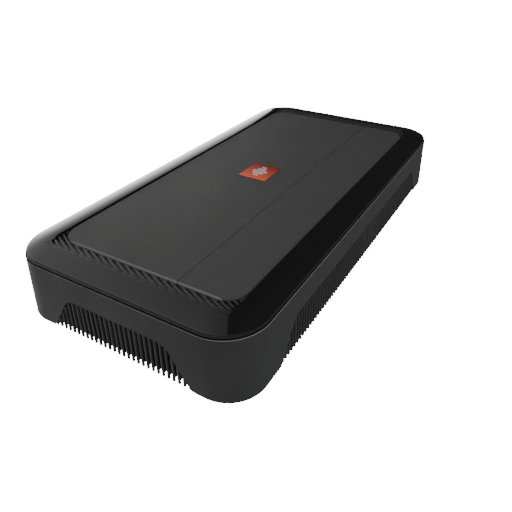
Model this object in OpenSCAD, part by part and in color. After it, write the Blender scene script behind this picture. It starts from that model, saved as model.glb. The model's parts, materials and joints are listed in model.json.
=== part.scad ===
// Multichannel car amplifier: low rectangular housing with a gloss frame, a two-piece lift-off
// top, a connection bay under the narrow cover, and vent combs round the base.
// Row frame: X along the length, -Y is the connection side, +Z up, Z = 0 is the mounting surface.

/* [Housing] */
// Overall length along X
body_l = 380; // [360:1:400]
// Overall width along Y
body_w = 194; // [190:1:204]
// Height of the gloss frame's inner edge above the mounting surface
body_h = 53.9; // [53.7:0.1:54.3]
// Plan radius of the corners at the seam
corner_r = 31; // [30:1:33]
// Plan radius of the corners at the mounting surface
foot_r = 27; // [22:1:28]
// Wall thickness of the lower skirt
skirt_wall = 2.6; // [2:0.1:3]
// Height of the skirt's top edge
skirt_top = 46.9; // [46.8:0.05:47.1]
// Visible gap between the seal's lip and the gloss frame
seam_gap = 0.9; // [0.7:0.1:1]

/* [Vent openings] */
// Height of the scalloped opening in each side of the skirt
vent_h = 29; // [25:0.5:29.5]
// Width at the floor of the opening in each short side
vent_short_w = 119; // [110:1:128]
// Width at the floor of the opening in each long side
vent_long_w = 289; // [240:1:296]
// How far each sloping side of an opening leans in
vent_lean = 18.5; // [14:0.5:22]
// Pitch of the comb slats
slat_pitch = 4.15; // [4:0.05:6]
// Width of one comb slat
slat_w = 2.1; // [1.6:0.1:2.6]

/* [Top panels] */
// Length of the two top panels
panel_l = 324; // [322:1:325]
// Width of the two top panels together
panel_w = 151.6; // [150.8:0.1:152.4]
// Height of the panels' top face
panel_top = 53.3; // [53.1:0.1:53.6]
// Y position of the joint line between the two panels
split_y = -31.2; // [-32:0.1:-29]
// Width of the band of the gloss frame
band_w = 19.2; // [19:0.1:19.4]

/* [Louvre ribs] */
// Pitch of the diagonal ribs along Y
rib_pitch = 7.65; // [6:0.05:10]
// Angle of the ribs from the X axis
rib_angle = 63; // [50:1:70]
// Radius of the scooped valley between two ribs
valley_r = 0.85; // [0.8:0.05:1.3]

/* [Badge] */
// Size of the square-cornered badge along X
badge_l = 29; // [20:1:32]
// Size of the badge along Y
badge_w = 26; // [20:1:30]
// X position of the badge's centre
badge_x = 4.5; // [-6:0.5:8]
// Y position of the badge's centre
badge_y = 7; // [0:0.5:20]

/* [Mounting] */
// Hole spacing along X
mount_dx = 292; // [288:1:294]
// Hole spacing along Y
mount_dy = 132; // [130:1:133]
// Radius of a mounting hole, for an M4 screw
mount_r = 2.25; // [2.1:0.05:2.6]

/* [Hidden] */
$fn = 64;

// Heights of the stacked layers
lip_top = skirt_top + 0.8;
bezel_low = lip_top + seam_gap;
ledge_top = 49.0;
ledge_low = 47.6;
flange_top = 46.4;
flange_low = 44.0;
plate_low = 24.0;
plate_top = 28.0;
board_low = 33.0;
board_top = 34.6;
deck_low = 36.4;
deck_top = 38.0;
board2_top = 39.2;
control_low = 45.0;
control_top = 46.2;
panel_t = 3.4;
rim_low = 49.3;

rib_top = body_h - 0.05;
rib_low = panel_top - 0.7;

// Plan outlines
inner_l = body_l - 2 * skirt_wall;
inner_w = body_w - 2 * skirt_wall;
inner_r = corner_r - skirt_wall;
bezel_inset = 0.8;
foot_h = 1.6;
bezel_l = body_l - 2 * bezel_inset;
bezel_w = body_w - 2 * bezel_inset;
bezel_r = corner_r - bezel_inset;
well_l = bezel_l - 2 * band_w;
well_w = bezel_w - 2 * band_w;
well_r = bezel_r - band_w;
panel_r = 16.5;
split_gap = 0.4;
ledge_l = 310;
ledge_w = 143;
ledge_r = 6;
flange_w = 12;

// Fastener positions
skirt_boss = [176, 60];
bezel_boss = [[-181, 0], [181, 0], [-98, 86.5], [98, 86.5], [-98, -86.5], [44, -86.5]];
board_post = [[-130, -46], [130, -46], [-130, 62], [130, 62], [12, -24], [0, 62]];
deck_post = [[-98.5, -60], [-62, -60], [44, -60], [111, -60]];
plug_notch = [[-150, -106], [-90, 36], [52, 150]];

// Plate, posts and fins
driver_r = 5;
post_r = 7;
fin_t = 2;
fin_pitch = 9.5;
fin_reach = 134;

// Power stage row, measured from the face of the upright wall
wall_y = 77.5;
wall_high = 46.8;
strip_t = 0.3;
clamp_x = [-114, -38, 38, 114];
clamp_z = 40.5;

// Connection bay
bay_x = 154.4;
bay_front = -72;
bay_back = -32;
dial_y = -41.5;
dial_x = [-132, -112, -92, -30, -4];
switch_x = [-62, 30, 62, 94];
lever_w = 3.0;
body2_top = 44.5;
dial_shaft_r = 1.5;

// ---------- shared shapes ----------

// Rounded rectangle, centred on the Z axis, standing on z = low
module slab(l, w, r, low, high) {
    translate([0, 0, low]) {
        translate([-l / 2 + r, -w / 2, 0]) cube([l - 2 * r, w, high - low]);
        translate([-l / 2, -w / 2 + r, 0]) cube([l, w - 2 * r, high - low]);
        for (sx = [-1, 1], sy = [-1, 1])
            translate([sx * (l / 2 - r), sy * (w / 2 - r), 0]) cylinder(r = r, h = high - low);
    }
}

// Solid whose corner radius opens from r0 at the bottom to r1 at the top, with upright sides
module flared(l, w, r0, r1, low, high) {
    hull() {
        for (e = [[r0, low], [r1, high - 0.01]], sx = [-1, 1], sy = [-1, 1])
            translate([sx * (l / 2 - e[0]), sy * (w / 2 - e[0]), e[1]])
                cylinder(r = e[0], h = 0.01, $fn = 96);
    }
}

// Box between two corners
module block(a, b) {
    translate(a) cube(b - a);
}

// Vertical round bar
module rod(x, y, r, low, high) {
    translate([x, y, low]) cylinder(r = r, h = high - low);
}

// A profile carried round a rounded rectangle; its x is the distance from the corner centre
module around(l, w, r) {
    for (i = [0, 1], j = [0, 1])
        mirror([i, 0, 0]) mirror([0, j, 0])
            translate([l / 2 - r, w / 2 - r, 0]) rotate_extrude(angle = 90) children();
    for (j = [0, 1]) {
        mirror([0, j, 0]) translate([-l / 2 + r, w / 2 - r, 0])
            rotate([90, 0, 90]) linear_extrude(l - 2 * r) children();
        mirror([j, 0, 0]) translate([l / 2 - r, w / 2 - r, 0])
            rotate([90, 0, 0]) linear_extrude(w - 2 * r) children();
    }
}

// Points of an arc, from angle a0 to a1 about c
function arc(c, r, a0, a1, n) = [
    for (i = [0 : n]) let (a = a0 + (a1 - a0) * i / n) [c[0] + r * cos(a), c[1] + r * sin(a)]
];

// Outline of a scalloped opening: sloping sides, rounded upper corners and rounded feet.
// A negative grow gives the smaller outline of what sits inside it.
function scallop(w, h, lean, grow = 0) =
    let (
        slope = atan2(vent_h, lean),
        half = w / 2 + grow / sin(slope),
        r = 12,
        foot = 4 - grow,
        top = h + grow,
        cx = half - top / tan(slope) - r * tan(slope / 2),
        fx = half + foot * tan(slope / 2)
    )
    concat(
        [[-fx, -1], [fx, -1]],
        arc([fx, foot], foot, -90, -90 - slope, 8),
        arc([cx, top - r], r, 90 - slope, 90, 10),
        arc([-cx, top - r], r, 90, 90 + slope, 10),
        arc([-fx, foot], foot, slope - 90, -90, 8)
    );

// A pan head screw whose head sits on z = seat and whose shank points down
module pan_screw(x, y, seat, shank_r, length) {
    head_r = 2 * shank_r;
    difference() {
        union() {
            rod(x, y, shank_r, seat - length, seat);
            rod(x, y, head_r, seat, seat + 1.6);
        }
        for (a = [0, 90])
            translate([x, y, seat + 1.6]) rotate(a) cube([2.4 * shank_r, 0.6, 1.6], center = true);
    }
}

// ---------- housing ----------

module skirt() {
    color([0.10, 0.10, 0.105])
    difference() {
        union() {
            difference() {
                flared(body_l, body_w, foot_r, corner_r, 0, skirt_top);
                flared(inner_l, inner_w, foot_r - skirt_wall, inner_r, -0.01, skirt_top + 0.02);
            }
            difference() {
                slab(inner_l + 1, inner_w + 1, inner_r, flange_low, flange_top);
                slab(inner_l - 2 * flange_w, inner_w - 2 * flange_w, inner_r - flange_w,
                     flange_low - 1, flange_top + 1);
            }
            for (sx = [-1, 1], sy = [-1, 1])
                rod(sx * skirt_boss[0], sy * skirt_boss[1], 4, plate_top, flange_low + 1);
        }
        for (a = [0, 180]) {
            rotate(a) translate([0, -body_w / 2 - 1, 0]) rotate([90, 0, 0]) mirror([0, 0, 1])
                linear_extrude(skirt_wall + 1.5) polygon(scallop(vent_long_w, vent_h, vent_lean));
            rotate(a) translate([-body_l / 2 - 1, 0, 0]) rotate([90, 0, -90]) mirror([0, 0, 1])
                linear_extrude(skirt_wall + 1.5) polygon(scallop(vent_short_w, vent_h, vent_lean));
        }
        for (sx = [-1, 1], sy = [-1, 1])
            rod(sx * skirt_boss[0], sy * skirt_boss[1], 1.5, plate_top - 1, flange_low);
        for (p = bezel_boss)
            rod(p[0], p[1], 1.8, flange_low - 1, flange_top + 1);
        // room for plugs in front of the connection bay
        for (n = plug_notch)
            block([n[0], -inner_w / 2 + 0.6, flange_low - 1], [n[1], -inner_w / 2 + 14, flange_top + 1]);
    }
}

// The scooped valleys between the ribs at one end of the well. They fade out over the gloss
// frame's inner edge, and they are open to the top.
module valleys() {
    fade = 2.6;
    deep = 2.1;
    shift = 3.2;
    n = ceil(well_w / rib_pitch / 2) + 3;
    run = 24.6;
    fall = (rib_top - rib_low + deep) * run / ((well_l - panel_l) / 2 + fade);
    reach = run / cos(rib_angle);
    tilt = atan2(fall, reach);
    intersection() {
        slab(well_l + 2 * fade, well_w - 1.2, well_r, ledge_top + 1, body_h + 1);
        block([-well_l / 2 - fade, -well_w, 0], [-well_l / 2 - fade + run, well_w, body_h + 2]);
        for (i = [-n : n])
            translate([-well_l / 2 - fade, i * rib_pitch + shift, rib_top + valley_r]) rotate(rib_angle)
                rotate([0, 90 + tilt, 0]) {
                    cylinder(r = valley_r, h = reach + 6, $fn = 32);
                    translate([-12, -valley_r, 0]) cube([12, 2 * valley_r, reach + 6]);
                }
    }
}

// Height of the gloss frame's crowned top face at t, which runs from 0 at the rim to 1 inside
function band_z(t) = bezel_low + foot_h + 0.45 + (body_h - bezel_low - foot_h - 0.45) * (1 - pow(1 - t, 2));

// A matt foot, the gloss crown above it and the ends of the ribs' valleys in its inner edge
module bezel() {
    shell = 2.2;
    roof = bezel_low + 1;
    rim = well_r + band_w;
    edge = rim - 0.5;
    steps = 14;
    color([0.02, 0.02, 0.02])
    difference() {
        union() {
            around(bezel_l, bezel_w, bezel_r)
                polygon(concat(
                    [
                        [rim, bezel_low], [rim, bezel_low + foot_h - 0.3],
                        [rim - 0.3, bezel_low + foot_h], [edge, bezel_low + foot_h],
                        [edge, bezel_low + foot_h + 0.2]
                    ],
                    [for (i = [0 : steps]) let (t = i / steps)
                        [edge - 0.25 - (edge - 0.25 - well_r) * t, band_z(t)]],
                    [
                        [well_r, ledge_low], [well_r + shell, ledge_low], [well_r + shell, roof],
                        [rim - 1.8, roof], [rim - 1.8, bezel_low]
                    ]
                ));
            difference() {
                slab(well_l + 2, well_w + 2, well_r + 1, ledge_low, ledge_top);
                slab(ledge_l, ledge_w, ledge_r, ledge_low - 1, ledge_top + 1);
            }
            for (p = bezel_boss)
                rod(p[0], p[1], 3.6, flange_top, roof + 0.5);
        }
        for (p = bezel_boss)
            rod(p[0], p[1], 1.4, flange_top - 1, flange_top + 2.4);
        valleys();
        mirror([1, 0, 0]) valleys();
    }
}

// The seal between skirt and frame, with a paler lip that is flush with the skirt's face
module seam_gasket() {
    color([0.03, 0.03, 0.03])
    difference() {
        union() {
            slab(body_l, body_w, corner_r, skirt_top, lip_top);
            slab(body_l - 3.2, body_w - 3.2, corner_r - 1.6, skirt_top + 0.1, bezel_low);
        }
        slab(body_l - 5.0, body_w - 5.0, corner_r - 2.5, skirt_top - 1, bezel_low + 1);
    }
}

// One comb for an opening of width w, its slats facing -Y at distance d from the origin
module comb(w, d) {
    face = 0.15;
    depth = 6;
    clear = 0.3;
    slat_low = 0.25;
    tip = 2.2;
    rail_t = 1.6;
    n = floor(w / slat_pitch / 2);
    color([0.06, 0.06, 0.06]) {
        intersection() {
            for (i = [-n : n])
                translate([i * slat_pitch, -d + face + slat_w / 2, slat_low + slat_w / 2]) {
                    cylinder(r = slat_w / 2, h = vent_h, $fn = 24);
                    sphere(r = slat_w / 2, $fn = 24);
                    // the blade behind the round front starts above the fingertip, save at the ends
                    translate([-slat_w / 2, 0, abs(i) < n ? tip : 0])
                        cube([slat_w, depth - slat_w / 2, vent_h]);
                }
            translate([0, -d + face + depth + 0.5, 0]) rotate([90, 0, 0])
                linear_extrude(depth + 1)
                polygon(scallop(w, vent_h, vent_lean, -clear));
        }
        // rails behind the skirt wall tie the slats together
        translate([-w / 2 - 1.5, -d + face + depth - 0.6, 1.4]) cube([w + 3, rail_t, 3.2]);
        translate([-w / 2 + vent_lean - 2, -d + face + depth - 0.6, vent_h - 6])
            cube([w - 2 * vent_lean + 4, rail_t, 8]);
        for (s = [-1, 1])
            translate([s * (w / 2 - vent_lean / 2 - 1) - 9, -d + face + depth - 0.6, 3])
                cube([18, rail_t, vent_h - 1]);
    }
}

module comb_front() { comb(vent_long_w, body_w / 2); }
module comb_rear() { rotate(180) comb(vent_long_w, body_w / 2); }
module comb_left() { rotate(-90) comb(vent_short_w, body_l / 2); }

// The far short side has a gate at the foot of its comb where the cables leave
module comb_right() {
    color([0.06, 0.06, 0.06])
    difference() {
        rotate(90) comb(vent_short_w, body_l / 2);
        block([body_l / 2 - 12, -45.9, -1], [body_l / 2 + 1, -12.6, 18]);
    }
}

// Diagonal ribs in one end of the well. Their outer ends are level with the gloss frame and
// they fall towards the panel, where the valleys between them are deepest.
module louvre() {
    clear = 0.4;
    side = 0.7;
    inner_x = -panel_l / 2;
    outer_x = -well_l / 2;
    end_x = inner_x + 14;
    color([0.09, 0.09, 0.09])
    difference() {
        intersection() {
            slab(well_l - 0.1, well_w - 2 * side, well_r - side, ledge_top, rib_top);
            translate([0, well_w / 2, 0]) rotate([90, 0, 0]) linear_extrude(well_w) polygon([
                [outer_x - 1, ledge_top], [end_x, ledge_top], [end_x, rib_low],
                [inner_x, rib_low], [outer_x, rib_top], [outer_x - 1, rib_top]
            ]);
        }
        slab(panel_l + 2 * clear, well_w - 2 * side + 0.2, panel_r, ledge_top - 1, body_h + 1);
        valleys();
    }
}

module louvre_left() { louvre(); }
module louvre_right() { mirror([1, 0, 0]) louvre(); }

// ---------- lift-off top ----------

// The full top panel with its soft upper edge and the rim under it, to be cut along the joint
module full_panel() {
    soft = 1.4;
    low = panel_top - panel_t;
    around(panel_l, panel_w, panel_r)
        polygon(concat(
            [[0, panel_top], [0, low], [panel_r, low]],
            arc([panel_r - soft, panel_top - soft], soft, 0, 90, 6)
        ));
    block([-panel_l / 2 + panel_r - 0.01, -panel_w / 2 + panel_r - 0.01, low],
          [panel_l / 2 - panel_r + 0.01, panel_w / 2 - panel_r + 0.01, panel_top]);
    difference() {
        slab(panel_l - 2.4, panel_w - 2.4, panel_r - 1.2, rim_low, low + 0.2);
        slab(panel_l - 5.6, panel_w - 5.6, panel_r - 2.8, rim_low - 1, panel_top);
    }
}

module main_panel() {
    color([0.13, 0.13, 0.13]) {
        difference() {
            intersection() {
                full_panel();
                block([-panel_l, split_y + split_gap / 2, 0], [panel_l, panel_w, body_h]);
            }
            block([badge_x - badge_l / 2 - 0.2, badge_y - badge_w / 2 - 0.2, panel_top - 1.2],
                  [badge_x + badge_l / 2 + 0.2, badge_y + badge_w / 2 + 0.2, panel_top + 1]);
        }
        block([-panel_l / 2 + 10, split_y + 1, rim_low],
              [panel_l / 2 - 10, split_y + 2.6, panel_top - panel_t + 0.2]);
    }
}

module badge_plate() {
    color([0.85, 0.18, 0.06])
    block([badge_x - badge_l / 2, badge_y - badge_w / 2, panel_top - 1.2],
          [badge_x + badge_l / 2, badge_y + badge_w / 2, panel_top + 0.3]);
}

// Plain level-meter bars, standing on the badge plate
module badge_bars() {
    heights = [5, 10, 14, 8, 4];
    color([0.92, 0.92, 0.92])
    for (i = [0 : 4])
        translate([badge_x - 8 + 4 * i, badge_y, panel_top + 0.3])
            block([-1, -heights[i] / 2, 0], [1, heights[i] / 2, 0.25]);
}

module terminal_cover() {
    color([0.13, 0.13, 0.13]) {
        intersection() {
            full_panel();
            block([-panel_l, -panel_w, 0], [panel_l, split_y - split_gap / 2, body_h]);
        }
        block([-panel_l / 2 + 10, split_y - 2.6, rim_low],
              [panel_l / 2 - 10, split_y - 1, panel_top - panel_t + 0.2]);
    }
}

// ---------- heat sink and power stage ----------

// Cast plate that everything inside stands on
module heat_sink() {
    color([0.16, 0.16, 0.17])
    difference() {
        slab(362, 178, 21, plate_low, plate_top);
        block([-200, -100, plate_low - 1], [200, -74, plate_top + 1]);
        for (sx = [-1, 1], sy = [-1, 1]) {
            rod(sx * mount_dx / 2, sy * mount_dy / 2, driver_r, plate_low - 1, plate_top + 1);
            rod(sx * skirt_boss[0], sy * skirt_boss[1], 1.8, plate_low - 1, plate_top + 1);
        }
        for (p = board_post) rod(p[0], p[1], 1.2, plate_low + 1, plate_top + 1);
    }
}

// Fin plates bonded under the cast plate
module sink_fins() {
    color([0.16, 0.16, 0.17])
    for (i = [0 : 13])
        translate([0, -46 + fin_pitch * i, 0])
            block([-fin_reach, -fin_t / 2, 6], [fin_reach, fin_t / 2, plate_low]);
}

// Spacers that carry the plate, each with a screw hole in its foot and room for the head above
module foot_posts() {
    seat = 6;
    color([0.2, 0.2, 0.21])
    for (sx = [-1, 1], sy = [-1, 1])
        difference() {
            rod(sx * mount_dx / 2, sy * mount_dy / 2, post_r, 0, plate_low);
            rod(sx * mount_dx / 2, sy * mount_dy / 2, mount_r, -1, seat + 1);
            rod(sx * mount_dx / 2, sy * mount_dy / 2, driver_r, seat, plate_low + 1);
        }
}

module board_spacers() {
    color([0.6, 0.6, 0.62])
    for (p = board_post)
        difference() {
            rod(p[0], p[1], 3.2, plate_top, board_low);
            rod(p[0], p[1], 1.2, plate_top - 1, board_low + 1);
        }
}

// Upright bar that the output transistors are clamped to
module transistor_rail() {
    color([0.5, 0.5, 0.52])
    difference() {
        block([-134, wall_y, plate_top], [134, wall_y + 3.5, wall_high]);
        for (x = clamp_x)
            translate([x, wall_y + 4, clamp_z]) rotate([90, 0, 0]) cylinder(r = 1.35, h = 5);
    }
}

// Screws from below, with their heads under the plate
module skirt_screws() {
    color([0.5, 0.5, 0.52])
    for (sx = [-1, 1], sy = [-1, 1])
        translate([sx * skirt_boss[0], sy * skirt_boss[1], plate_low]) mirror([0, 0, 1])
            pan_screw(0, 0, 0, 1.45, 12);
}

module bezel_screws() {
    color([0.5, 0.5, 0.52])
    for (p = bezel_boss)
        translate([p[0], p[1], flange_low]) mirror([0, 0, 1]) pan_screw(0, 0, 0, 1.35, 4.6);
}

module main_board() {
    color([0.05, 0.25, 0.12])
    difference() {
        block([-138, -70, board_low], [138, wall_y - 2, board_top]);
        for (p = concat(board_post, deck_post)) rod(p[0], p[1], 1.6, board_low - 1, board_top + 1);
    }
}

module board_screws() {
    color([0.7, 0.7, 0.72])
    for (p = board_post) pan_screw(p[0], p[1], board_top, 1.15, 5);
}

// Ring of rectangular section with eased edges
module ring(x, y, r_in, r_out, low, high, turn = 360) {
    c = 1.2;
    translate([x, y, 0]) rotate(-turn / 2) rotate_extrude(angle = turn)
        polygon([
            [r_in, low + c], [r_in + c, low], [r_out - c, low], [r_out, low + c],
            [r_out, high - c], [r_out - c, high], [r_in + c, high], [r_in, high - c]
        ]);
}

toroid_x = [-96, -44];
toroid_y = 28;

module toroid_cores() {
    color([0.15, 0.2, 0.3])
    for (x = toroid_x) ring(x, toroid_y, 11.5, 20, board_top + 2, board_top + 11);
}

module toroid_windings() {
    color([0.72, 0.35, 0.15])
    for (x = toroid_x, a = [0, 180])
        translate([x, toroid_y, 0]) rotate(a) difference() {
            ring(0, 0, 9, 22.5, board_top, board_top + 13, 150);
            ring(0, 0, 11.4, 20.1, board_top + 1.9, board_top + 11.1);
        }
}

module toroid_clamp() {
    color([0.08, 0.08, 0.08])
    for (x = toroid_x) {
        rod(x, toroid_y, 7, board_top + 0, board_top + 13.2);
        rod(x, toroid_y, 10.5, board_top + 13.2, board_top + 14.4);
    }
}

module bulk_capacitors() {
    color([0.1, 0.12, 0.2])
    for (i = [0 : 3], j = [0, 1])
        rod(8 + 17 * i, 20 + 17 * j, 7.2, board_top, board_top + 14.6);
}

module output_chokes() {
    color([0.68, 0.33, 0.12])
    for (i = [0 : 4]) ring(-104 + 24 * i, -14, 3.6, 9.4, board_top, board_top + 9);
}

transistor_x = [for (i = [0 : 13]) -123.5 + 19 * i];

module power_transistors() {
    face = wall_y - strip_t;
    color([0.05, 0.05, 0.05])
    for (x = transistor_x) {
        block([x - 5, face - 4.4, board_top + 1.4], [x + 5, face, board_top + 9]);
        block([x - 5, face - 1.3, board_top + 9], [x + 5, face, board_top + 11.6]);
        for (k = [-2.5, 0, 2.5])
            block([x + k - 0.4, face - 3.4, board_top], [x + k + 0.4, face - 2.8, board_top + 1.4]);
    }
}

module thermal_strip() {
    color([0.6, 0.62, 0.65])
    difference() {
        block([-132, wall_y - strip_t, board_top + 0.6], [132, wall_y, wall_high - 0.3]);
        for (x = clamp_x)
            translate([x, wall_y + 4, clamp_z]) rotate([90, 0, 0]) cylinder(r = 1.6, h = 10);
    }
}

module clamp_bar() {
    front = wall_y - strip_t - 4.4;
    color([0.6, 0.6, 0.62])
    difference() {
        block([-133, front - 2.2, 38], [133, front, 43]);
        for (x = clamp_x)
            translate([x, wall_y, clamp_z]) rotate([90, 0, 0]) cylinder(r = 1.6, h = 12);
    }
}

module clamp_screws() {
    color([0.72, 0.72, 0.74])
    for (x = clamp_x)
        translate([x, wall_y - strip_t - 6.6, clamp_z]) rotate([90, 0, 0]) pan_screw(0, 0, 0, 1.3, 9);
}

module driver_chips() {
    color([0.04, 0.04, 0.04])
    for (i = [0 : 2]) {
        block([84 + 17 * i, 44, board_top], [96 + 17 * i, 56, board_top + 2]);
        block([84 + 17 * i, 24, board_top], [94 + 17 * i, 31, board_top + 1.6]);
    }
}

module film_capacitors() {
    color([0.7, 0.12, 0.08])
    for (i = [0 : 4])
        block([24 + 21 * i, -20, board_top], [37 + 21 * i, -13, board_top + 9]);
}

// ---------- connection bay ----------

module connection_deck() {
    wall = 1.6;
    wall_top = ledge_low - 0.2;
    color([0.07, 0.07, 0.075])
    difference() {
        union() {
            block([-bay_x, bay_front, deck_low], [bay_x, bay_back, deck_top]);
            block([-bay_x, bay_back - wall, deck_low], [bay_x, bay_back, wall_top]);
            for (s = [-1, 1])
                translate([s * (bay_x - wall / 2) - wall / 2, bay_front, deck_low])
                    cube([wall, bay_back - bay_front, wall_top - deck_low]);
            for (p = deck_post) rod(p[0], p[1], 3, board_top, deck_low + 0.5);
        }
        for (p = deck_post) rod(p[0], p[1], 1.4, board_top - 1, deck_top + 1);
        for (s = [-1, 1]) rod(s * mount_dx / 2, -mount_dy / 2, 5.4, deck_low - 1, deck_top + 1);
        block([-139, -73, deck_low - 1], [-102, -53.5, deck_top + 1]);
        block([-95, -68.5, deck_low - 1], [-67, -53.5, deck_top + 1]);
        block([-57, -73, deck_low - 1], [39, -53.5, deck_top + 1]);
        block([49, -73, deck_low - 1], [107, -53.5, deck_top + 1]);
        block([115, -68.5, deck_low - 1], [131, -53.5, deck_top + 1]);
    }
}

module deck_screws() {
    color([0.5, 0.5, 0.52])
    for (p = deck_post) pan_screw(p[0], p[1], deck_top, 1.25, 4.6);
}

module control_board() {
    color([0.05, 0.25, 0.12])
    block([-146, -49.4, deck_top], [146, -34.2, board2_top]);
}

module control_plate() {
    color([0.09, 0.09, 0.09])
    difference() {
        union() {
            block([-150, -51, control_low], [150, -34.2, control_top]);
            block([-150, -51, deck_top], [150, -49.8, control_low]);
        }
        for (x = dial_x) rod(x, dial_y, 3.8, control_low - 1, control_top + 1);
        for (x = switch_x)
            block([x - 4.4, dial_y - 1.6, control_low - 1], [x + 4.4, dial_y + 1.6, control_top + 1]);
        for (x = [120, 132]) rod(x, dial_y, 1.55, control_low - 1, control_top + 1);
    }
}

module pot_bodies() {
    color([0.1, 0.2, 0.45])
    for (x = dial_x)
        difference() {
            block([x - 5, dial_y - 5.5, board2_top], [x + 5, dial_y + 5.5, body2_top]);
            rod(x, dial_y, dial_shaft_r + 0.05, 40.2, body2_top + 1);
        }
}

module switch_bodies() {
    color([0.55, 0.55, 0.57])
    for (x = switch_x)
        difference() {
            block([x - 6.5, dial_y - 3.5, board2_top], [x + 6.5, dial_y + 3.5, body2_top]);
            block([x - 3.9, dial_y - 1.5, 41], [x + 3.9, dial_y + 1.5, body2_top + 1]);
        }
}

module status_lights() {
    color([0.2, 0.5, 0.9])
    for (x = [120, 132]) rod(x, dial_y, 1.5, board2_top, control_top + 0.4);
}

// One trimmer knob: a ribbed cap with a screwdriver slot
module dial(x) {
    low = 44.8;
    high = 48.6;
    color([0.16, 0.16, 0.17])
    difference() {
        union() {
            rod(x, dial_y, 3.2, low, high);
            rod(x, dial_y, dial_shaft_r, 40.6, low + 0.5);
            for (a = [0 : 30 : 330])
                translate([x, dial_y, 0]) rotate(a)
                    block([2.9, -0.4, control_low + 1.4], [3.5, 0.4, high - 0.4]);
        }
        translate([x, dial_y, high]) cube([5, 0.9, 1.8], center = true);
    }
}

module dial_front_level() { dial(dial_x[0]); }
module dial_rear_level() { dial(dial_x[1]); }
module dial_bass_boost() { dial(dial_x[2]); }
module dial_front_filter() { dial(dial_x[3]); }
module dial_rear_filter() { dial(dial_x[4]); }

// Slide switch lever with three grip ridges
module lever(x) {
    color([0.85, 0.85, 0.83]) {
        block([x - lever_w / 2, dial_y - 1.2, 41.3], [x + lever_w / 2, dial_y + 1.2, 47.8]);
        for (k = [-1, 0, 1])
            block([x + k - 0.25, dial_y - 1.2, 47.8], [x + k + 0.25, dial_y + 1.2, 48.2]);
    }
}

module switch_front_filter() { lever(switch_x[0]); }
module switch_rear_filter() { lever(switch_x[1]); }
module switch_input_mode() { lever(switch_x[2]); }
module switch_input_range() { lever(switch_x[3]); }

block_top = 48.2;
wire_z = 40.4;

// A row of barrel terminals, one block per pole: bores face -Y, clamp screws drop in from above.
// Each screw pocket ends on the thin pressure wall over its wire bore.
module terminal_row(x0, x1, n, bore_r, screw_r) {
    pitch = (x1 - x0) / n;
    for (i = [0 : n - 1])
        let (x = x0 + pitch * (i + 0.5))
        difference() {
            block([x - pitch / 2 + 0.15, -68, board_top], [x + pitch / 2 - 0.15, -54, block_top]);
            translate([x, -53, wire_z]) rotate([90, 0, 0]) cylinder(r = bore_r, h = 16);
            rod(x, -62, screw_r + 0.1, wire_z + bore_r + 0.4, block_top + 1);
        }
}

// Socket-head clamp screws for one terminal row
module clamp_set(x0, x1, n, bore_r, screw_r) {
    pitch = (x1 - x0) / n;
    low = wire_z + bore_r + 0.5;
    for (i = [0 : n - 1])
        difference() {
            rod(x0 + pitch * (i + 0.5), -62, screw_r, low, block_top - 0.4);
            rod(x0 + pitch * (i + 0.5), -62, screw_r * 0.5, block_top - 2.2, block_top, $fn = 6);
        }
}

module power_terminals() {
    color([0.62, 0.62, 0.64]) terminal_row(-138, -103, 3, 3.6, 3.2);
}

module power_terminal_screws() {
    color([0.35, 0.35, 0.37]) clamp_set(-138, -103, 3, 3.6, 3.2);
}

module speaker_terminals() {
    color([0.62, 0.62, 0.64]) terminal_row(-56, 38, 8, 2.3, 2.0);
}

module speaker_terminal_screws() {
    color([0.35, 0.35, 0.37]) clamp_set(-56, 38, 8, 2.3, 2.0);
}

fuse_y = [-64.8, -57.2];

module fuse_holder() {
    color([0.08, 0.08, 0.08])
    difference() {
        block([-94, -68, board_top], [-68, -54, 39]);
        for (y = fuse_y, s = [-1, 1])
            block([-81 + s * 7 - 2.8, y - 0.7, board_top + 0.6], [-81 + s * 7 + 2.8, y + 0.7, 40]);
    }
}

// Blade fuse: a coloured body over two flat blades
module blade_fuse(y) {
    color([0.9, 0.45, 0.1]) {
        block([-90.5, y - 2.5, 39.3], [-71.5, y + 2.5, 44.6]);
        for (s = [-1, 1])
            block([-81 + s * 7 - 2.4, y - 0.4, 35.6], [-81 + s * 7 + 2.4, y + 0.4, 39.4]);
    }
}

module fuse_outer() { blade_fuse(fuse_y[0]); }
module fuse_inner() { blade_fuse(fuse_y[1]); }

jack_x = [57, 71, 85, 99];
jack_z = 42.4;

// Housing for the phono jacks, with a pin socket in the middle of each
module input_jacks() {
    color([0.06, 0.06, 0.06])
    difference() {
        block([49.7, -63, board_top], [106.8, -54, block_top]);
        for (x = jack_x)
            translate([x, -60, jack_z]) rotate([90, 0, 0]) cylinder(r = 1.65, h = 6);
    }
}

module jack_sleeves() {
    color([0.75, 0.72, 0.6])
    for (x = jack_x)
        translate([x, -63, jack_z]) rotate([90, 0, 0]) difference() {
            cylinder(r = 4.15, h = 8);
            translate([0, 0, -1]) cylinder(r = 3.4, h = 10);
        }
}

module remote_socket() {
    color([0.12, 0.12, 0.12])
    difference() {
        block([116, -68, board_top], [130, -54, block_top]);
        block([118, -69, 37.5], [128, -58, 44.5]);
    }
}

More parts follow.
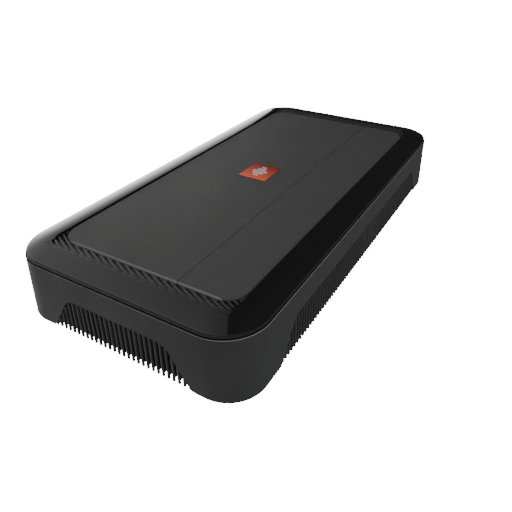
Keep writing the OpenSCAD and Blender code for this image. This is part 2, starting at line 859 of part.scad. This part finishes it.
skirt();
bezel();
seam_gasket();
comb_front();
comb_rear();
comb_left();
comb_right();
louvre_left();
louvre_right();
main_panel();
badge_plate();
badge_bars();
terminal_cover();
heat_sink();
sink_fins();
foot_posts();
board_spacers();
transistor_rail();
skirt_screws();
bezel_screws();
main_board();
board_screws();
toroid_cores();
toroid_windings();
toroid_clamp();
bulk_capacitors();
output_chokes();
power_transistors();
thermal_strip();
clamp_bar();
clamp_screws();
driver_chips();
film_capacitors();
connection_deck();
deck_screws();
control_board();
control_plate();
pot_bodies();
switch_bodies();
status_lights();
power_terminals();
power_terminal_screws();
speaker_terminals();
speaker_terminal_screws();
fuse_holder();
fuse_outer();
fuse_inner();
input_jacks();
jack_sleeves();
remote_socket();
dial_front_level();
dial_rear_level();
dial_bass_boost();
dial_front_filter();
dial_rear_filter();
switch_front_filter();
switch_rear_filter();
switch_input_mode();
switch_input_range();
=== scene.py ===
import json
import math

import bpy
from mathutils import Matrix, Vector


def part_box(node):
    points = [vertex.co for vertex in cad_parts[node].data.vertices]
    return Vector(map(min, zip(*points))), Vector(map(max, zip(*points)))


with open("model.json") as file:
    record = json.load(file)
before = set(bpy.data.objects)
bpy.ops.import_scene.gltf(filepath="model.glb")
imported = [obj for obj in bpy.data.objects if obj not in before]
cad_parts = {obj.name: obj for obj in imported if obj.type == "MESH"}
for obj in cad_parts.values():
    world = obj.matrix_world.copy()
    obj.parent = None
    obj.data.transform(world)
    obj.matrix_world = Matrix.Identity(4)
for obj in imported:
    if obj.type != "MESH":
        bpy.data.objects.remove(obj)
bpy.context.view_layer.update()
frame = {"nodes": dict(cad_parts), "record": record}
nodes = frame["nodes"]
record = frame["record"]
slot_of = {s["node"]: s["material_slot"] for s in record["subparts"]}
colour_of = {m["slot"]: m["base_color"] for m in record["materials"]}

BORDER = 0.0001      # half the width of the border of a painted highlight band, in metres
CREASE = math.radians(28)
DOME_WHITE = 18.0    # strength of the pure white backdrop and floor


# ---------- materials ----------

def tree(name):
    m = bpy.data.materials.new(name)
    m.use_nodes = True
    nt = m.node_tree
    return m, nt, nt.nodes["Principled BSDF"]


def add(nt, kind, **values):
    n = nt.nodes.new(kind)
    for k, v in values.items():
        setattr(n, k, v)
    return n


def noise(nt, coord, scale, detail=3.0, stretch=None):
    """A noise field in metres; stretch squeezes it along an axis for drawn or brushed grain."""
    n = add(nt, "ShaderNodeTexNoise")
    n.inputs["Scale"].default_value = scale
    n.inputs["Detail"].default_value = detail
    if stretch:
        mapping = add(nt, "ShaderNodeMapping")
        mapping.inputs["Scale"].default_value = stretch
        nt.links.new(coord, mapping.inputs["Vector"])
        coord = mapping.outputs["Vector"]
    nt.links.new(coord, n.inputs["Vector"])
    return n.outputs["Fac"]


def spread(nt, value, low, high, from_low=0.3, from_high=0.7):
    n = add(nt, "ShaderNodeMapRange")
    n.inputs["From Min"].default_value = from_low
    n.inputs["From Max"].default_value = from_high
    n.inputs["To Min"].default_value = low
    n.inputs["To Max"].default_value = high
    nt.links.new(value, n.inputs["Value"])
    return n.outputs["Result"]


def mixed(nt, fac, a, b):
    n = add(nt, "ShaderNodeMix", data_type="RGBA")
    n.inputs["A"].default_value = (*a, 1)
    n.inputs["B"].default_value = (*b, 1)
    nt.links.new(fac, n.inputs["Factor"])
    return n.outputs["Result"]


def finish_of(name, colour, rough=(0.4, 0.5), grain=1500, bump=0.05, depth=0.0002, metallic=0.0,
              shade=0.12, blotch=60, stretch=None, coat=0.0, wear_and_highlight=0.0, specular=0.5, painted_highlight_band=None):
    """Grain bump, blotchy shade and roughness, with convex edges made paler, partly as rubbing from use
    and partly as a painted highlight. A highlight band, which is an axis, where the border lies on it,
    and the grey within and beyond, gives two tones with a clean border; its paler tone is a painted
    highlight along an edge."""
    m, nt, bsdf = tree(name)
    coord = add(nt, "ShaderNodeTexCoord").outputs["Object"]
    fine = noise(nt, coord, grain, 2.0, stretch)
    broad = noise(nt, coord, blotch, 4.0)
    dark = tuple(c * (1 - shade) for c in colour)
    light = tuple(min(1.0, c * (1 + shade)) for c in colour)
    base = mixed(nt, spread(nt, broad, 0, 1), dark, light)
    # Pointiness pales the convex edges: partly rubbing from use, partly a painted highlight along the
    # edges.
    if wear_and_highlight:
        edge = add(nt, "ShaderNodeNewGeometry").outputs["Pointiness"]
        worn_and_highlit = add(nt, "ShaderNodeMix", data_type="RGBA")
        worn_and_highlit.inputs["B"].default_value = (*(min(1.0, c * 1.8 + 0.03) for c in colour), 1)
        nt.links.new(spread(nt, edge, 0, wear_and_highlight, 0.52, 0.62), worn_and_highlit.inputs["Factor"])
        nt.links.new(base, worn_and_highlit.inputs["A"])
        base = worn_and_highlit.outputs["Result"]
    # Painted highlight: a paler band of base colour on one side of a border, standing for light caught
    # along an edge.
    if painted_highlight_band:
        axis, start, within, beyond = painted_highlight_band
        split = add(nt, "ShaderNodeSeparateXYZ")
        nt.links.new(coord, split.inputs["Vector"])
        reach = add(nt, "ShaderNodeMath", operation="ABSOLUTE")
        nt.links.new(split.outputs[axis], reach.inputs[0])
        past = spread(nt, reach.outputs["Value"], 0, 1, start - BORDER, start + BORDER)
        base = mixed(nt, past, (within,) * 3, (beyond,) * 3)
    nt.links.new(base, bsdf.inputs["Base Color"])
    nt.links.new(spread(nt, broad, rough[0], rough[1]), bsdf.inputs["Roughness"])
    bsdf.inputs["Metallic"].default_value = metallic
    bsdf.inputs["Specular IOR Level"].default_value = specular
    bsdf.inputs["Coat Weight"].default_value = coat
    bsdf.inputs["Coat Roughness"].default_value = 0.03
    if bump:
        b = add(nt, "ShaderNodeBump")
        b.inputs["Strength"].default_value = bump
        b.inputs["Distance"].default_value = depth
        nt.links.new(fine, b.inputs["Height"])
        nt.links.new(b.outputs["Normal"], bsdf.inputs["Normal"])
    return m


KINDS = {
    "skirt": dict(rough=(0.5, 0.58), grain=2600, bump=0.25, shade=0.04, blotch=25, specular=0.1),
    "louvre": dict(rough=(0.5, 0.58), grain=2600, bump=0.15, shade=0.05, blotch=30, specular=0.2),
    # Seam gasket: the lip below the border is painted pale grey, the rest near black; the pale lip is a
    # painted highlight line along the skirt's top edge.
    "gasket": dict(rough=(0.5, 0.6), grain=2000, bump=0.1, specular=0.1, shade=0.04,
                   painted_highlight_band=("Z", 0.04758, 0.27, 0.016)),
    "comb": dict(rough=(0.45, 0.55), grain=2600, bump=0.2, shade=0.08, wear_and_highlight=0.7, specular=0.16),
    # Main panel: past the border at each short end the base colour is painted paler, a painted highlight
    # on the rounded end edges.
    "panel": dict(rough=(0.5, 0.58), grain=2600, bump=0.3, shade=0.02, blotch=18, specular=0.13,
                  painted_highlight_band=("X", 0.1609, 0.075, 0.21)),
    "rail_metal": dict(rough=(0.3, 0.45), metallic=1.0, bump=0.15, stretch=(0.04, 1, 1), shade=0.08),
    "heat_sink": dict(rough=(0.35, 0.5), metallic=0.9, bump=0.2, stretch=(0.05, 1, 1), wear_and_highlight=0.3),
    "fastener": dict(rough=(0.25, 0.4), metallic=1.0, grain=900, bump=0.1, wear_and_highlight=0.3),
    "fastener_dark": dict(rough=(0.35, 0.5), metallic=1.0, grain=900, bump=0.1, wear_and_highlight=0.4),
    "circuit_board": dict(rough=(0.25, 0.4), grain=700, bump=0.1, shade=0.25, blotch=180),
    "ferrite": dict(rough=(0.4, 0.55), grain=1200, bump=0.15, shade=0.1),
    "inner_plastic": dict(rough=(0.45, 0.6), grain=2200, bump=0.2, shade=0.08),
    "capacitor_sleeve": dict(rough=(0.2, 0.3), grain=500, bump=0.04, shade=0.1),
    "chip": dict(rough=(0.5, 0.62), grain=2500, bump=0.2, shade=0.1),
    "thermal_pad": dict(rough=(0.7, 0.85), grain=900, bump=0.15, shade=0.1),
    "steel": dict(rough=(0.25, 0.4), metallic=1.0, bump=0.15, stretch=(0.04, 1, 1), shade=0.08),
    "film_case": dict(rough=(0.15, 0.28), grain=300, bump=0.06, shade=0.1),
    "pot_case": dict(rough=(0.35, 0.5), grain=1500, bump=0.1, shade=0.1),
    "terminal_metal": dict(rough=(0.18, 0.32), metallic=1.0, grain=1200, bump=0.08, shade=0.08),
    "jack_metal": dict(rough=(0.15, 0.28), metallic=1.0, grain=900, bump=0.05, shade=0.08),
    "fuse_body": dict(rough=(0.12, 0.22), grain=400, bump=0.03, shade=0.1),
    "dial_plastic": dict(rough=(0.4, 0.52), grain=2200, bump=0.15, shade=0.08, wear_and_highlight=0.5),
    "lever_plastic": dict(rough=(0.35, 0.48), grain=2000, bump=0.1, shade=0.06),
    "badge_mark": dict(rough=(0.25, 0.35), grain=1200, bump=0.04, shade=0.03),
    "status_lens": dict(rough=(0.05, 0.15), grain=600, bump=0.03, shade=0.05, coat=0.5),
}
materials = {s: finish_of(s, tuple(colour_of[s][:3]), **k) for s, k in KINDS.items() if s in colour_of}


def copper_wire():
    """Turns of enamelled wire round a ring: a fine angular wave in the bump, and in the colour as painted
    shade between the turns and a painted highlight on each turn.
    """
    m, nt, bsdf = tree("copper")
    coord = add(nt, "ShaderNodeTexCoord").outputs["Object"]
    wave = add(nt, "ShaderNodeTexWave", wave_type="BANDS", bands_direction="X")
    wave.inputs["Scale"].default_value = 260
    wave.inputs["Distortion"].default_value = 1.5
    nt.links.new(coord, wave.inputs["Vector"])
    c = colour_of["copper"][:3]
    # Painted shade and highlight: the wave darkens the colour to 0.35 and lightens it to 1.25 across each
    # turn.
    shade = mixed(nt, wave.outputs["Fac"], tuple(v * 0.35 for v in c), tuple(min(1, v * 1.25) for v in c))
    nt.links.new(shade, bsdf.inputs["Base Color"])
    nt.links.new(spread(nt, noise(nt, coord, 300), 0.2, 0.35), bsdf.inputs["Roughness"])
    bsdf.inputs["Metallic"].default_value = 0.85
    b = add(nt, "ShaderNodeBump")
    b.inputs["Strength"].default_value = 0.6
    b.inputs["Distance"].default_value = 0.0004
    nt.links.new(wave.outputs["Fac"], b.inputs["Height"])
    nt.links.new(b.outputs["Normal"], bsdf.inputs["Normal"])
    return m


def two_finish_frame():
    """Piano gloss on the crown of the frame, fine matte grain on its foot, its inner ledge and the
    rib ends scooped out of the crown's inner edge."""
    m, nt, bsdf = tree("gloss_frame")
    coord = add(nt, "ShaderNodeTexCoord").outputs["Object"]
    split = add(nt, "ShaderNodeSeparateXYZ")
    nt.links.new(coord, split.inputs["Vector"])
    low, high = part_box("bezel")
    foot_top, scoop_top = low.z + 0.00384, high.z - 0.00007
    inner_x, inner_y = high.x - 0.0166, high.y - 0.0196
    fine = 0.00002
    above_foot = spread(nt, split.outputs["Z"], 0, 1, foot_top - fine, foot_top + fine)
    open_top = spread(nt, split.outputs["Z"], 0, 1, scoop_top - fine / 2, scoop_top + fine / 2)
    for axis, edge in (("X", inner_x), ("Y", inner_y)):
        inset = add(nt, "ShaderNodeMath", operation="ABSOLUTE")
        nt.links.new(split.outputs[axis], inset.inputs[0])
        either = add(nt, "ShaderNodeMath", operation="MAXIMUM")
        nt.links.new(open_top, either.inputs[0])
        nt.links.new(spread(nt, inset.outputs["Value"], 0, 1, edge - fine, edge + fine), either.inputs[1])
        open_top = either.outputs["Value"]
    both = add(nt, "ShaderNodeMath", operation="MULTIPLY")
    nt.links.new(above_foot, both.inputs[0])
    nt.links.new(open_top, both.inputs[1])
    crown = both.outputs["Value"]
    fade = add(nt, "ShaderNodeMix", data_type="FLOAT")
    nt.links.new(crown, fade.inputs["Factor"])
    nt.links.new(spread(nt, noise(nt, coord, 90), 0.5, 0.6), fade.inputs["A"])
    nt.links.new(spread(nt, noise(nt, coord, 25), 0.015, 0.03), fade.inputs["B"])
    nt.links.new(fade.outputs["Result"], bsdf.inputs["Roughness"])
    nt.links.new(mixed(nt, crown, (0.02, 0.02, 0.02), (0.012, 0.012, 0.012)), bsdf.inputs["Base Color"])
    nt.links.new(mixed(nt, crown, (0.2, 0.2, 0.2), (1, 1, 1)), bsdf.inputs["Specular Tint"])
    grain = add(nt, "ShaderNodeMix", data_type="FLOAT")
    nt.links.new(crown, grain.inputs["Factor"])
    nt.links.new(noise(nt, coord, 2600, 2.0), grain.inputs["A"])
    nt.links.new(spread(nt, noise(nt, coord, 180), 0.0, 0.01), grain.inputs["B"])
    b = add(nt, "ShaderNodeBump")
    b.inputs["Strength"].default_value = 0.2
    b.inputs["Distance"].default_value = 0.0002
    nt.links.new(grain.outputs["Result"], b.inputs["Height"])
    nt.links.new(b.outputs["Normal"], bsdf.inputs["Normal"])
    return m


def badge_lacquer():
    """Satin lacquer, running from bright orange at one end to a deeper red at the other; the bright end
    is partly a painted highlight.
    """
    m, nt, bsdf = tree("badge")
    low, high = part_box("badge_plate")
    coord = add(nt, "ShaderNodeTexCoord").outputs["Object"]
    split = add(nt, "ShaderNodeSeparateXYZ")
    nt.links.new(coord, split.inputs["Vector"])
    along = spread(nt, split.outputs["X"], 0, 1, low.x, high.x)
    # Partly the lacquer's own colour run, partly painted light: the bright orange end stands for a
    # highlight.
    nt.links.new(mixed(nt, along, (1.0, 0.15, 0.075), (0.23, 0.018, 0.008)), bsdf.inputs["Base Color"])
    nt.links.new(spread(nt, noise(nt, coord, 120), 0.3, 0.36), bsdf.inputs["Roughness"])
    bsdf.inputs["Metallic"].default_value = 0.1
    bsdf.inputs["Specular IOR Level"].default_value = 0.15
    return m


materials["copper"] = copper_wire()
materials["gloss_frame"] = two_finish_frame()
materials["badge"] = badge_lacquer()


# ---------- edges ----------

def soft_edges():
    """Joins the faces' shared corners and shades smooth below a crease angle, ready for a bevel."""
    g = bpy.data.node_groups.new("soft_edges", "GeometryNodeTree")
    g.interface.new_socket("Geometry", in_out="INPUT", socket_type="NodeSocketGeometry")
    g.interface.new_socket("Geometry", in_out="OUTPUT", socket_type="NodeSocketGeometry")
    gin, gout = g.nodes.new("NodeGroupInput"), g.nodes.new("NodeGroupOutput")
    merge = g.nodes.new("GeometryNodeMergeByDistance")
    merge.inputs["Distance"].default_value = 2e-6
    faces = g.nodes.new("GeometryNodeSetShadeSmooth")
    faces.domain = "FACE"
    edges = g.nodes.new("GeometryNodeSetShadeSmooth")
    edges.domain = "EDGE"
    edges.inputs["Shade Smooth"].default_value = False
    angle = g.nodes.new("GeometryNodeInputMeshEdgeAngle")
    crease = g.nodes.new("FunctionNodeCompare")
    crease.operation = "GREATER_THAN"
    crease.inputs["B"].default_value = CREASE
    g.links.new(gin.outputs[0], merge.inputs["Geometry"])
    g.links.new(merge.outputs["Geometry"], faces.inputs["Geometry"])
    g.links.new(faces.outputs["Geometry"], edges.inputs["Geometry"])
    g.links.new(angle.outputs["Unsigned Angle"], crease.inputs["A"])
    g.links.new(crease.outputs["Result"], edges.inputs["Selection"])
    g.links.new(edges.outputs["Geometry"], gout.inputs[0])
    return g


# Modelled edges that stay as they are, broad faces cleaned before their bevel, and bevels in metres
SHARP = ("bezel", "louvre_left", "louvre_right")
BROAD = ("skirt", "main_panel", "terminal_cover")
PLAIN_WIDTH = 0.00015
WIDTHS = {
    "seam_gasket": 0.0004,
    "skirt": 0.0003,
    "main_panel": 0.0004,
    "terminal_cover": 0.0004,
    "badge_plate": 0.0002,
    "badge_bars": 0.00006,
}
group = soft_edges()
for name, o in nodes.items():
    if "custom_normal" in o.data.attributes:
        o.data.attributes.remove(o.data.attributes["custom_normal"])
    o.data.materials.clear()
    o.data.materials.append(materials[slot_of[name]])
    o.modifiers.new("soft_edges", "NODES").node_group = group
    if name in SHARP:
        continue
    if name in BROAD:
        flat = o.modifiers.new("flat_faces", "DECIMATE")
        flat.decimate_type = "DISSOLVE"
        flat.angle_limit = math.radians(0.3)
    bevel = o.modifiers.new("edge_round", "BEVEL")
    bevel.width = WIDTHS.get(name, PLAIN_WIDTH)
    bevel.segments = 3 if bevel.width > 0.0003 else 2
    bevel.limit_method = "ANGLE"
    bevel.angle_limit = math.radians(35)
    weigh = o.modifiers.new("even_faces", "WEIGHTED_NORMAL")
    weigh.keep_sharp = True


# ---------- studio ----------

floor_mesh = bpy.data.meshes.new("floor")
span = 4.0
corners = [(-span, -span, 0), (span, -span, 0), (span, span, 0), (-span, span, 0)]
floor_mesh.from_pydata(corners, [], [(0, 1, 2, 3)])
floor = bpy.data.objects.new("floor", floor_mesh)
bpy.context.scene.collection.objects.link(floor)
floor_mat, nt, bsdf = tree("studio_floor")
bsdf.inputs["Base Color"].default_value = (0.9, 0.9, 0.9, 1)
bsdf.inputs["Roughness"].default_value = 0.9
bsdf.inputs["Emission Color"].default_value = (1, 1, 1, 1)
bsdf.inputs["Emission Strength"].default_value = DOME_WHITE
floor_mesh.materials.append(floor_mat)
floor.location.z = -0.0002
floor.visible_glossy = False
floor.visible_diffuse = False

# What glossy surfaces see: a large pale wall to the left with a clean edge, a bright band low down
# behind the object, a dim room elsewhere. Matte surfaces are lit by an even dome.
world = bpy.data.worlds.new("studio")
bpy.context.scene.world = world
world.use_nodes = True
wt = world.node_tree
wt.nodes.clear()


def facing(axis, from_low, from_high, to_low, to_high):
    """How bright the room is by how far a direction leans towards an axis."""
    dot = add(wt, "ShaderNodeVectorMath", operation="DOT_PRODUCT")
    dot.inputs[1].default_value = Vector(axis).normalized()
    wt.links.new(direction, dot.inputs[0])
    return spread(wt, dot.outputs["Value"], to_low, to_high, from_low, from_high)


def combine(operation, a, b):
    n = add(wt, "ShaderNodeMath", operation=operation)
    wt.links.new(a, n.inputs[0])
    wt.links.new(b, n.inputs[1])
    return n.outputs["Value"]


def glow(strength):
    n = wt.nodes.new("ShaderNodeBackground")
    if isinstance(strength, float):
        n.inputs["Strength"].default_value = strength
    else:
        wt.links.new(strength, n.inputs["Strength"])
    n.inputs["Color"].default_value = (1, 1, 1, 1)
    return n.outputs["Background"]


def choose(fac, a, b):
    n = wt.nodes.new("ShaderNodeMixShader")
    wt.links.new(fac, n.inputs["Fac"])
    wt.links.new(a, n.inputs[1])
    wt.links.new(b, n.inputs[2])
    return n.outputs["Shader"]


direction = wt.nodes.new("ShaderNodeTexCoord").outputs["Generated"]
LEFT = (-0.557, 0.83, -0.002)
FAR_LEFT = (-0.53, 0.85, 0)
DOWN = (0, 0, -1)
wall = combine("MULTIPLY", facing(LEFT, -0.004, 0.004, 0, 1), facing(LEFT, 0.0, 0.7, 0.35, 1.15))
low = combine("MULTIPLY", facing(DOWN, -0.42, 0.05, 0, 5), facing((0.75, 0.66, 0), 0.72, 0.98, 0, 1))
hot = combine("MULTIPLY", facing(FAR_LEFT, -0.004, 0.004, 0, 1), low)
room = facing(DOWN, 0.0, 0.05, 0.035, 0.3)
behind = facing((-0.7, -0.6, 0.25), 0.5, 1.0, 0, 0.8)
seen = combine("ADD", combine("ADD", combine("ADD", wall, hot), room), behind)
dome = facing((0.0, -0.4, 1), -0.4, 1.0, 0.1, 0.5)
path = wt.nodes.new("ShaderNodeLightPath")
lit = choose(path.outputs["Is Glossy Ray"], glow(dome), glow(seen))
shown = choose(path.outputs["Is Camera Ray"], lit, glow(DOME_WHITE))
wt.links.new(shown, wt.nodes.new("ShaderNodeOutputWorld").inputs["Surface"])


def softbox(name, place, aim, size, watts):
    data = bpy.data.lights.new(name, "AREA")
    data.shape = "RECTANGLE"
    data.size, data.size_y = size
    data.energy = watts
    o = bpy.data.objects.new(name, data)
    o.location = place
    o.rotation_euler = (Vector(aim) - Vector(place)).to_track_quat("-Z", "Y").to_euler()
    o.visible_glossy = False
    bpy.context.scene.collection.objects.link(o)
    return o


softbox("key", (-0.3, 0.15, 1.3), (-0.05, 0, 0.03), (0.9, 0.9), 1.5)
softbox("fill", (-0.4, -1.15, 0.45), (0, 0, 0.02), (1.2, 0.8), 7.6)

# ---------- camera ----------

azimuth, elevation, roll = (math.radians(a) for a in (-59.235, 29.39, -0.275))
reach = 0.60468
target = Vector((0.09204, 0.05964, -0.04774))
back = Vector((
    math.sin(azimuth) * math.cos(elevation),
    -math.cos(azimuth) * math.cos(elevation),
    math.sin(elevation),
))
right = Vector((0, 0, 1)).cross(back).normalized()
up = back.cross(right)
right, up = right * math.cos(roll) + up * math.sin(roll), up * math.cos(roll) - right * math.sin(roll)
camera = bpy.data.objects.new("camera", bpy.data.cameras.new("camera"))
camera.data.sensor_width = 36
camera.data.lens = 36.81
camera.data.shift_x = -0.00711
camera.data.shift_y = -0.08155
camera.data.clip_start = 0.01
bpy.context.scene.collection.objects.link(camera)
turn = Matrix((right, up, back)).transposed().to_4x4()
camera.matrix_world = Matrix.Translation(target + back * reach) @ turn
bpy.context.scene.camera = camera
